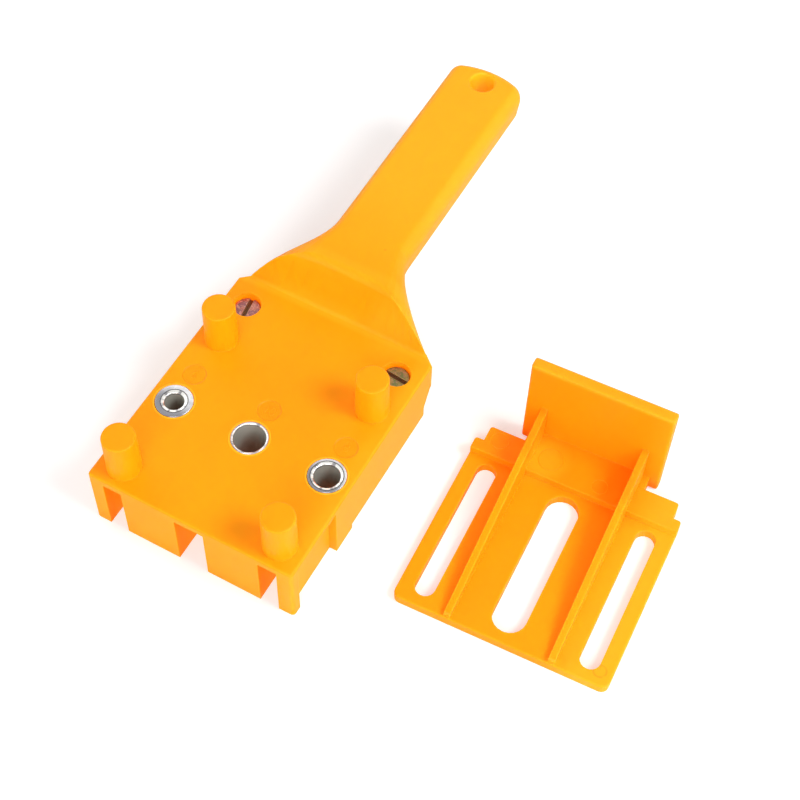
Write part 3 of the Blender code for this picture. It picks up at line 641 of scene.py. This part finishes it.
def moulded_plastic(name, look, pins=(), specks=(), scuffs=(), pale=(), deep=(), bands=(),
                    spots=(), holes=(), edge_width=EDGE_WIDTH, small=False):
    """Satin orange plastic with the marks of its mould.

    pins, specks and scuffs list middle and radius of ejector marks, which get painted shade, small
    dark spots and faint rubbed rings. pale and deep list axis, start, end and share of slow changes
    of colour along the piece: painted light and painted shade. bands lists axis, middle, half width
    and share of pale bands of painted highlight. spots lists middle, radius, softness and share of
    pale spots of painted light. holes lists middle, radius, softness, paleness and added glow of
    holes and gaps whose walls get painted light. The deep tone paints shade into hollows, the pale
    tone highlights along edges, and an emission gives a painted glow. Small pieces have no painted
    edge highlights and no light inside.
    """
    material, tree, shader = new_material(name, look.tone)
    grain = place_group(tree, "Mould Grain", Grain_Size=look.grain_size, Roughness=look.roughness)
    shade = place_group(tree, "Edges And Hollows", Edge_Width=edge_width,
                        Hollow_Reach=HOLLOW_REACH)
    place = object_place(tree)
    drift = ramp(tree, noise(tree, place, DRIFT_SCALE), *DRIFT_RANGE)
    colour = tinted(tree, full(look.tone), look.deep_tone, drift, DRIFT_SHARE)
    # Painted shade: the deep tone darkens corners and hollows, found by ambient occlusion
    hollow = times(tree, shade.outputs["Hollow"], HOLLOW_SHADE_SHARE)
    # Painted glow: an emission in the deep tone over the whole piece
    shine = full(c * look.glow for c in look.deep_tone)
    # Painted light: hole and gap walls turn pale, glow more and lose the painted shade
    for centre, radius, soft, paleness, light in holes:
        wall = lit_wall(tree, centre, radius, soft)
        hollow = times(tree, hollow, maths(tree, "SUBTRACT", 1.0, wall))
        colour = tinted(tree, colour, look.edge_tone, wall, paleness)
        lit = full(c * (look.glow + light) for c in look.deep_tone)
        shine = blend_colours(tree, wall, shine, lit)
    colour = tinted(tree, colour, look.deep_tone, hollow)
    # Painted highlight: the pale tone along the moulded edges, where they would catch the light
    if not small:
        colour = tinted(tree, colour, look.edge_tone, shade.outputs["Edge"], EDGE_HIGHLIGHT_SHARE)
    # Painted shade (deep lists) and painted light (pale lists) along an axis of the piece
    for changes, other in ((deep, look.deep_tone), (pale, look.edge_tone)):
        for axis, start, end, share in changes:
            along = ramp(tree, part_of_place(tree, axis), start, end, 0.0, share)
            colour = tinted(tree, colour, other, along)
    # Painted highlights: pale bands across the piece
    for axis, middle, half, share in bands:
        off = maths(tree, "ABSOLUTE", maths(tree, "SUBTRACT", part_of_place(tree, axis), middle))
        band = ramp(tree, off, half, half * BAND_CORE, 0.0, share)
        colour = tinted(tree, colour, look.edge_tone, band)
    # Painted light: pale spots
    for centre, radius, soft, share in spots:
        mark = place_group(tree, "Round Mark", Centre=centre, Radius=radius, Softness=soft)
        colour = tinted(tree, colour, look.edge_tone, mark.outputs["Disc"], share)
    height = grain.outputs["Height"]
    # Painted shade in the ejector marks: the ring groove, and less the disc, turn to the deep tone
    for centre, radius in pins:
        mark = place_group(tree, "Round Mark", Centre=centre, Radius=radius, Softness=PIN_RIM)
        groove = times(tree, mark.outputs["Ring"], PIN_GROOVE)
        height = maths(tree, "SUBTRACT", height, groove)
        ring = times(tree, mark.outputs["Ring"], PIN_RING_SHARE)
        disc = times(tree, mark.outputs["Disc"], PIN_DISC_SHARE)
        colour = tinted(tree, colour, look.deep_tone, maths(tree, "ADD", ring, disc))
    for centre, radius in scuffs:
        mark = place_group(tree, "Round Mark", Centre=centre, Radius=radius, Softness=SCUFF_RIM)
        broken = ramp(tree, noise(tree, place, SCUFF_SCALE), *SCUFF_RANGE, 0.0, SCUFF_SHARE)
        colour = tinted(tree, colour, SCUFF_TONE, mark.outputs["Ring"], broken)
    for centre, radius in specks:
        mark = place_group(tree, "Round Mark", Centre=centre, Radius=radius, Softness=SPECK_RIM)
        colour = tinted(tree, colour, SPECK_TONE, mark.outputs["Disc"], SPECK_SHARE)
    join(tree, colour, shader.inputs["Base Color"])
    join(tree, grain.outputs["Roughness"], shader.inputs["Roughness"])
    feed(tree, shader.inputs["Emission Color"], shine)
    shader.inputs["Emission Strength"].default_value = 1.0
    shader.inputs["Specular IOR Level"].default_value = PLASTIC_SPECULAR
    shader.inputs["Subsurface Weight"].default_value = 0.0 if small else INNER_LIGHT
    shader.inputs["Subsurface Radius"].default_value = INNER_SPREAD
    shader.inputs["Subsurface Scale"].default_value = look.depth
    add_bump(tree, shader, height, GRAIN_STRENGTH, GRAIN_DEPTH, look.edge_radius)
    return material


def bush_steel(name, look, node):
    """Ground ring with painted shade, a lead with painted reflections and a dark, oiled bore."""
    material, tree, shader = new_material(name, look.steel)
    low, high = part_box(node)
    top = top_middle(node)
    axis = place_group(tree, "Turned Metal", Centre=top, Pitch=look.ring_pitch)
    away = axis.outputs["Distance"]
    above = axis.outputs["Height Above"]
    bore = float(BUSHES[node]) / 2 * MM
    lead = bore + BUSH_LEADS[node]
    outer = (high.x - low.x) / 2
    wear = place_group(tree, "Metal Wear", Clean=full(look.steel), Stain=full(look.deep_steel),
                       Amount=BUSH_WEAR, Roughness=look.roughness)
    # Painted shade: the ground face darkens towards the deep steel away from SWEEP_WAY
    spoke = vector_maths(tree, "SUBTRACT", object_place(tree), top)
    sweep = vector_maths(tree, "DOT_PRODUCT", spoke, SWEEP_WAY, out=1)
    sweep = maths(tree, "DIVIDE", sweep, outer)
    width = min(1.0, (outer - lead) / WIDE_FACE)
    shaded = ramp(tree, sweep, *SWEEP_RANGE, 0.0, SWEEP_SHARE * width)
    colour = tinted(tree, wear.outputs["Color"], look.deep_steel, shaded)
    # Painted sheen along the turning marks
    colour = tinted(tree, colour, TURNING_SHEEN_TONE, axis.outputs["Marks"], TURNING_SHEEN_SHARE)
    # Painted reflections: dark patches round the polished lead
    patch = noise(tree, vector_maths(tree, "NORMALIZE", spoke), LEAD_REFLECTION_SCALE)
    patch = ramp(tree, patch, *LEAD_REFLECTION_RANGE, 0.0, LEAD_REFLECTION_SHARE)
    polished = tinted(tree, full(look.lead_steel), look.deep_steel, patch)
    on_lead = ramp(tree, away, lead + LEAD_RIM, lead - LEAD_RIM)
    colour = blend_colours(tree, on_lead, colour, polished)
    near_bore = ramp(tree, away, *(bore + rim for rim in BORE_RIM))
    inside = times(tree, near_bore, ramp(tree, above, *BORE_DROP))
    colour = tinted(tree, colour, look.bore_steel, inside)
    lines = ((lead + LEAD_LINE[0], LEAD_LINE[1]), (bore + BORE_LINE[0], BORE_LINE[1]),
             (outer, OUTER_LINE_SHARE))
    for radius, share in lines:
        off = maths(tree, "ABSOLUTE", maths(tree, "SUBTRACT", away, radius))
        line = ramp(tree, off, *LINE_FADE)
        line = times(tree, line, ramp(tree, above, *LINE_DROP))
        colour = tinted(tree, colour, LINE_TONE, line, share * width)
    join(tree, colour, shader.inputs["Base Color"])
    dull = times(tree, inside, BORE_DULLING)
    rough = maths(tree, "ADD", wear.outputs["Roughness"], dull)
    join(tree, rough, shader.inputs["Roughness"])
    loss = times(tree, inside, BORE_METAL_LOSS)
    join(tree, maths(tree, "SUBTRACT", BUSH_METAL, loss), shader.inputs["Metallic"])
    shader.inputs["Anisotropic"].default_value = BUSH_BRUSHED
    off = maths(tree, "SUBTRACT", away, (lead + outer) / 2)
    off = maths(tree, "DIVIDE", off, outer - lead)
    dome = times(tree, ramp(tree, away, lead, lead + FLAT_RIM), -look.dome)
    fall = times(tree, times(tree, off, off), dome)
    marks = times(tree, axis.outputs["Marks"], TURNED_HEIGHT)
    height = maths(tree, "ADD", marks, fall)
    add_bump(tree, shader, height, 1.0, outer - lead, METAL_EDGE_RADIUS)
    return material


def plated_zinc(name, look, colour, bloom, blush, node):
    """Mottled zinc plating, threaded below the head, with painted light on the upper walls of the
    driver slot and brown painted shade deeper in it.
    """
    material, tree, shader = new_material(name, colour)
    axis = place_group(tree, "Turned Metal", Centre=top_middle(node), Pitch=look.thread_pitch)
    away = axis.outputs["Distance"]
    above = axis.outputs["Height Above"]
    mottle = place_group(tree, "Plating Bloom", First=full(colour), Second=full(bloom),
                         Third=full(blush), Size=BLOOM_SIZE)
    wear = place_group(tree, "Metal Wear", Clean=mottle.outputs["Color"],
                       Stain=full(c * STAIN_DARKNESS for c in colour), Amount=SCREW_WEAR,
                       Roughness=look.roughness)
    shade = place_group(tree, "Edges And Hollows", Edge_Width=SCREW_EDGE_WIDTH,
                        Hollow_Reach=SCREW_HOLLOW_REACH)
    # Painted light: the upper walls of the driver slot turn pale
    slot = times(tree, ramp(tree, above, *SLOT_MOUTH), ramp(tree, away, *SLOT_ROUND))
    slot = times(tree, slot, ramp(tree, above, *SLOT_FLOOR))
    tint = tinted(tree, wear.outputs["Color"], look.edge_tone, slot, SLOT_SHARE)
    # Painted shade: brown deep in the driver slot
    painted_shade = times(tree, slot, ramp(tree, above, *SLOT_SHADE_DROP))
    tint = tinted(tree, tint, look.slot_shade_tone, painted_shade, SLOT_SHARE)
    rim = times(tree, shade.outputs["Edge"], RIM_SHARE)
    rim = times(tree, rim, ramp(tree, above, *RIM_DROP))
    tint = tinted(tree, tint, look.edge_tone, rim)
    join(tree, tint, shader.inputs["Base Color"])
    join(tree, wear.outputs["Roughness"], shader.inputs["Roughness"])
    shader.inputs["Metallic"].default_value = SCREW_METAL
    shank = times(tree, ramp(tree, above, *SHANK_DROP), ramp(tree, away, *SHANK_ROUND))
    thread = times(tree, axis.outputs["Thread"], shank)
    grain = noise(tree, object_place(tree), SCREW_GRAIN_SCALE)
    grain = times(tree, grain, SCREW_GRAIN_SHARE)
    height = maths(tree, "ADD", thread, grain)
    add_bump(tree, shader, height, 1.0, THREAD_DEPTH, METAL_EDGE_RADIUS)
    return material


def small_plastic(context):
    """The guide's plastic for pin rings and figures, made once."""
    name = "small_moulded_plastic"
    look = context.scene.drill_guide_plastic
    return bpy.data.materials.get(name) or moulded_plastic(name, look, small=True)


def dress(node, material):
    """Puts a material on a CAD piece."""
    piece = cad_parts[node]
    if not piece.material_slots:
        piece.data.materials.append(material)
    for slot in piece.material_slots:
        slot.material = material


# Added pieces


def turned_ring(name, section, steps):
    """Closed ring turned round Z from a section of (radius, height) points."""
    mesh = bpy.data.meshes.new(name)
    points, faces = [], []
    for k in range(steps):
        a = 2 * math.pi * k / steps
        points += [(r * math.cos(a), r * math.sin(a), z) for r, z in section]
    n = len(section)
    for k in range(steps):
        here, there = k * n, (k + 1) % steps * n
        for i in range(n):
            j = (i + 1) % n
            faces.append((here + i, here + j, there + j, there + i))
    mesh.from_pydata(points, [], faces)
    mesh.shade_smooth()
    return mesh


def seat_piece(context, name, mesh, place, plastic):
    """Adds a small piece of the orange moulding at its place."""
    mesh.transform(Matrix.Translation(place))
    mesh.materials.clear()
    mesh.materials.append(plastic)
    piece = bpy.data.objects.new(name, mesh)
    context.scene.collection.objects.link(piece)
    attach(piece, "root")


# Operators, one for each piece or group of like pieces and one for the stage


class DRILLGUIDE_OT_guide(Operator):
    """Moulded orange plastic for the one-piece head, neck and handle"""
    bl_idname = "drillguide.guide"
    bl_label = "Guide Body Plastic"

    def execute(self, context):
        # Painted light on the walls of the hanging hole, the counterbores and the front gaps
        hanging_hole = (GUIDE_MIDDLE_X, GUIDE_HIGH.y - HANGING_HOLE_INSET, HANDLE_TOP)
        holes = [(hanging_hole, HANGING_HOLE_RADIUS, HOLE_RIM, HANGING_HOLE_PALE,
                  HANGING_HOLE_LIGHT)]
        for side in ("left", "right"):
            middle = node_middle("clamp_screw_" + side)
            mouth = (middle.x, middle.y, HEAD_TOP)
            holes.append((mouth, COUNTERBORE_RADIUS, HOLE_RIM, COUNTERBORE_PALE,
                          COUNTERBORE_LIGHT))
        for wall in GAP_WALLS_X:
            gap = (wall + GAP_LIGHT_ASIDE, GUIDE_LOW.y + GAP_LIGHT_BEHIND,
                   HEAD_TOP - TOP_THICKNESS)
            holes.append((gap, GAP_RADIUS, GAP_RIM, GAP_PALE, GAP_LIGHT))
        marks = []
        for node in BUSHES:
            middle = node_middle(node)
            centre = (middle.x, middle.y + MARK_BEHIND, HEAD_TOP - MARK_DEPTH / 2)
            marks.append((centre, MARK_RADIUS))
        look = context.scene.drill_guide_plastic
        dress("guide_body", moulded_plastic("guide_plastic", look, marks, specks=GUIDE_SPECKS,
                                            holes=holes, pale=GUIDE_PAINTED_LIGHT_RAMPS, bands=GUIDE_PAINTED_HIGHLIGHT_BANDS,
                                            spots=GUIDE_PAINTED_LIGHT_SPOTS))
        return {"FINISHED"}


class DRILLGUIDE_OT_fence(Operator):
    """Moulded orange plastic for the fence, with faint ejector pin marks"""
    bl_idname = "drillguide.fence"
    bl_label = "Fence Plastic"

    def execute(self, context):
        look = context.scene.drill_guide_plastic
        dress("fence_plate", moulded_plastic("fence_plastic", look, FENCE_PINS,
                                             scuffs=FENCE_SCUFFS, pale=FENCE_PAINTED_LIGHT_RAMPS,
                                             deep=FENCE_PAINTED_SHADE_RAMPS, spots=FENCE_PAINTED_LIGHT_SPOTS,
                                             edge_width=FENCE_EDGE_WIDTH))
        return {"FINISHED"}


class DRILLGUIDE_OT_bushes(Operator):
    """Ground steel with dark bores for the three drill bushes"""
    bl_idname = "drillguide.bushes"
    bl_label = "Bush Steel"

    def execute(self, context):
        look = context.scene.drill_guide_bush
        for node in BUSHES:
            dress(node, bush_steel("steel_of_" + node, look, node))
        return {"FINISHED"}


class DRILLGUIDE_OT_screws(Operator):
    """Zinc plating for the two clamp screws and their nuts"""
    bl_idname = "drillguide.screws"
    bl_label = "Screw Plating"

    def execute(self, context):
        look = context.scene.drill_guide_screw
        sides = (("left", look.clear_zinc, look.clear_bloom, look.clear_blush),
                 ("right", look.yellow_zinc, look.yellow_bloom, look.yellow_blush))
        for side, colour, bloom, blush in sides:
            for piece in ("clamp_screw_", "clamp_nut_"):
                node = piece + side
                dress(node, plated_zinc("zinc_of_" + node, look, colour, bloom, blush, node))
        return {"FINISHED"}


class DRILLGUIDE_OT_lips(Operator):
    """Low moulded lip round each bush, where the plastic closes on the steel"""
    bl_idname = "drillguide.lips"
    bl_label = "Bush Lips"

    def execute(self, context):
        look = context.scene.drill_guide_bush
        rise = look.lip_height
        # Painted highlight: the lip's top turns to the pale tone
        plastic = moulded_plastic("lip_plastic", context.scene.drill_guide_plastic, small=True,
                                  pale=[(Z, HEAD_TOP, HEAD_TOP + rise * 0.5, 1.0)])
        for node, figure in BUSHES.items():
            low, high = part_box(node)
            inner = (high.x - low.x) / 2 + LIP_GAP
            outer = inner + look.lip_width
            section = [(inner, -LIP_SEAT), (inner, rise * 0.5),
                       (inner + LIP_SHOULDER / 2, rise * 0.9)]
            for k in range(LIP_CURVE_STEPS + 1):
                a = math.pi / 2 * k / LIP_CURVE_STEPS
                reach = (outer - inner - LIP_SHOULDER) * math.sin(a)
                section.append((inner + LIP_SHOULDER + reach, rise * math.cos(a)))
            section.append((outer, -LIP_SEAT))
            name = "bush_lip_" + figure
            middle = node_middle(node)
            seat_piece(context, name, turned_ring(name, section, LIP_STEPS),
                       (middle.x, middle.y, HEAD_TOP), plastic)
        return {"FINISHED"}


class DRILLGUIDE_OT_pins(Operator):
    """Low rings that the ejector pins left on the fence's raised step"""
    bl_idname = "drillguide.pins"
    bl_label = "Ejector Pin Rings"

    def execute(self, context):
        look = context.scene.drill_guide_plastic
        half = look.pin_ring_width / 2
        rise = look.pin_ring_height
        across = ((-half, -PIN_RING_SEAT), (-half, 0.0), (-half * 0.6, rise * 0.8), (0.0, rise),
                  (half * 0.6, rise * 0.8), (half, 0.0), (half, -PIN_RING_SEAT))
        for count, (middle, radius) in enumerate(FENCE_PINS, 1):
            name = "pin_ring_%d" % count
            section = [(radius + aside, height) for aside, height in across]
            seat_piece(context, name, turned_ring(name, section, PIN_RING_STEPS), middle,
                       small_plastic(context))
        return {"FINISHED"}


class DRILLGUIDE_OT_figures(Operator):
    """Raised drill sizes in the round marks behind the bushes"""
    bl_idname = "drillguide.figures"
    bl_label = "Size Figures"

    def figure_mesh(self, context, words):
        """Mesh of a drill size, raised evenly above and below its middle."""
        look = context.scene.drill_guide_figure
        curve = bpy.data.curves.new("figure_" + words, "FONT")
        curve.body = words
        curve.size = look.height / DIGIT_SHARE_OF_SIZE
        curve.align_x = "CENTER"
        curve.align_y = "CENTER"
        curve.extrude = look.relief / 2
        curve.bevel_depth = look.relief * 0.3
        curve.bevel_resolution = 1
        curve.resolution_u = 6
        curve.space_character = 0.9
        shape = bpy.data.objects.new("figure_shape_" + words, curve)
        context.scene.collection.objects.link(shape)
        context.view_layer.update()
        found = shape.evaluated_get(context.evaluated_depsgraph_get())
        mesh = bpy.data.meshes.new_from_object(found)
        bpy.data.objects.remove(shape)
        if not mesh.vertices:
            raise RuntimeError("The figure %s has no shape" % words)
        return mesh

    def execute(self, context):
        relief = context.scene.drill_guide_figure.relief
        floor = HEAD_TOP - MARK_DEPTH
        for node, words in BUSHES.items():
            mesh = self.figure_mesh(context, words)
            middle = node_middle(node)
            place = (middle.x, middle.y + MARK_BEHIND, floor + relief * 0.4)
            seat_piece(context, "size_figure_" + words, mesh, place, small_plastic(context))
        return {"FINISHED"}


class DRILLGUIDE_OT_stage(Operator):
    """Pale floor, soft lamps and the camera"""
    bl_idname = "drillguide.stage"
    bl_label = "Stage and Camera"

    def add_room(self, context, look):
        """Light tent: white to the camera, softly shaded to everything else."""
        world = bpy.data.worlds.new("soft_room")
        world.use_nodes = True
        tree = world.node_tree
        room = tree.nodes["Background"]
        room.inputs["Color"].default_value = (1.0, 1.0, 1.0, 1.0)
        path = tree.nodes.new("ShaderNodeLightPath")
        seen = maths(tree, "MAXIMUM", path.outputs["Is Glossy Ray"],
                     path.outputs["Is Transmission Ray"])
        up = part_of_place(tree, Z)
        tent = ramp(tree, up, 0.0, 1.0, look.horizon_level, look.zenith_level)
        sheen = ramp(tree, up, SHINE_FADE_START, 1.0, look.shine_level,
                     look.shine_level * ROOF_SHINE_SHARE)
        shine = times(tree, seen, sheen)
        rest = times(tree, maths(tree, "SUBTRACT", 1.0, seen), tent)
        lit = maths(tree, "ADD", shine, rest)
        lit = maths(tree, "MAXIMUM", lit, path.outputs["Is Camera Ray"])
        join(tree, lit, room.inputs["Strength"])
        context.scene.world = world

    def add_floor(self, context, look):
        half = look.floor_size / 2
        mesh = bpy.data.meshes.new("pale_floor")
        corners = [(-half, -half, 0), (half, -half, 0), (half, half, 0), (-half, half, 0)]
        mesh.from_pydata(corners, [], [(0, 1, 2, 3)])
        floor = bpy.data.objects.new("pale_floor", mesh)
        context.scene.collection.objects.link(floor)
        material, tree, shader = new_material("pale_floor", (0.9, 0.9, 0.9))
        path = tree.nodes.new("ShaderNodeLightPath")
        seen = maths(tree, "MAXIMUM", path.outputs["Is Camera Ray"],
                     path.outputs["Is Glossy Ray"])
        seen = maths(tree, "MAXIMUM", seen, path.outputs["Is Transmission Ray"])
        bounce = full((FLOOR_BOUNCE,) * 3)
        colour = tinted(tree, bounce, (look.floor_tone,) * 3, seen)
        join(tree, colour, shader.inputs["Base Color"])
        shader.inputs["Emission Color"].default_value = (1.0, 1.0, 1.0, 1.0)
        away = vector_maths(tree, "LENGTH", object_place(tree), out=1)
        far = ramp(tree, away, *FLOOR_FADE, look.floor_glow, 1.0)
        glow = times(tree, path.outputs["Is Camera Ray"], far)
        join(tree, glow, shader.inputs["Emission Strength"])
        shader.inputs["Roughness"].default_value = 1.0
        shader.inputs["Specular IOR Level"].default_value = 0.0
        mesh.materials.append(material)

    def add_lamp(self, context, name, direction, distance, size, power):
        light = bpy.data.lights.new(name, "AREA")
        light.shape = "DISK"
        light.size = size
        light.energy = power
        lamp = bpy.data.objects.new(name, light)
        middle = (CAD_BOX[0] + CAD_BOX[1]) / 2
        lamp.location = middle + direction.normalized() * distance
        lamp.rotation_mode = "QUATERNION"
        lamp.rotation_quaternion = direction.to_track_quat("Z", "Y")
        context.scene.collection.objects.link(lamp)

    def add_camera(self, context):
        a, e, r = CAMERA_AZIMUTH, CAMERA_ELEVATION, CAMERA_ROLL
        back = Vector((math.sin(a) * math.cos(e), -math.cos(a) * math.cos(e), math.sin(e)))
        right = Vector((0, 0, 1)).cross(back).normalized()
        up = back.cross(right)
        level = right * math.cos(r) + up * math.sin(r)
        upright = up * math.cos(r) - right * math.sin(r)
        data = bpy.data.cameras.new("studio_camera")
        data.lens = CAMERA_LENS
        data.sensor_width = SENSOR_WIDTH
        data.clip_start = NEAREST_SEEN
        camera = bpy.data.objects.new("studio_camera", data)
        turn = Matrix((level, upright, back)).transposed().to_4x4()
        place = CAMERA_TARGET + back * CAMERA_DISTANCE
        camera.matrix_world = Matrix.Translation(place) @ turn
        context.scene.collection.objects.link(camera)
        context.scene.camera = camera

    def execute(self, context):
        look = context.scene.drill_guide_stage
        self.add_room(context, look)
        self.add_floor(context, look)
        for name, direction, distance, size, power in LAMPS:
            self.add_lamp(context, name, direction, distance, size, getattr(look, power))
        self.add_camera(context)
        context.scene.view_settings.view_transform = "Standard"
        return {"FINISHED"}


class DRILLGUIDE_PT_looks(Panel):
    bl_idname = "DRILLGUIDE_PT_looks"
    bl_label = "Drill Guide Looks"
    bl_space_type = "VIEW_3D"
    bl_region_type = "UI"
    bl_category = "Drill Guide"

    def draw(self, context):
        for title, operators, settings in PANEL_PARTS:
            box = self.layout.box()
            box.label(text=title)
            group = getattr(context.scene, settings)
            for name in group.bl_rna.properties.keys():
                if name not in ("rna_type", "name"):
                    box.prop(group, name)
            for operator in operators:
                box.operator(operator)


PANEL_PARTS = [
    ("Plastic", ("drillguide.guide", "drillguide.fence", "drillguide.pins"),
     "drill_guide_plastic"),
    ("Bushes", ("drillguide.bushes", "drillguide.lips"), "drill_guide_bush"),
    ("Screws", ("drillguide.screws",), "drill_guide_screw"),
    ("Figures", ("drillguide.figures",), "drill_guide_figure"),
    ("Stage", ("drillguide.stage",), "drill_guide_stage"),
]

SETTINGS = {
    "drill_guide_plastic": PlasticSettings,
    "drill_guide_bush": BushSettings,
    "drill_guide_screw": ScrewSettings,
    "drill_guide_figure": FigureSettings,
    "drill_guide_stage": StageSettings,
}

CLASSES = (
    *SETTINGS.values(),
    DRILLGUIDE_OT_guide,
    DRILLGUIDE_OT_fence,
    DRILLGUIDE_OT_bushes,
    DRILLGUIDE_OT_screws,
    DRILLGUIDE_OT_lips,
    DRILLGUIDE_OT_pins,
    DRILLGUIDE_OT_figures,
    DRILLGUIDE_OT_stage,
    DRILLGUIDE_PT_looks,
)


def register():
    for cls in CLASSES:
        bpy.utils.register_class(cls)
    for name, cls in SETTINGS.items():
        setattr(bpy.types.Scene, name, PointerProperty(type=cls))


def unregister():
    for name in SETTINGS:
        delattr(bpy.types.Scene, name)
    for cls in reversed(CLASSES):
        bpy.utils.unregister_class(cls)


def main():
    register()
    for _, operators, _ in PANEL_PARTS:
        for operator in operators:
            family, action = operator.split(".")
            getattr(getattr(bpy.ops, family), action)()


if __name__ == "__main__":
    main()
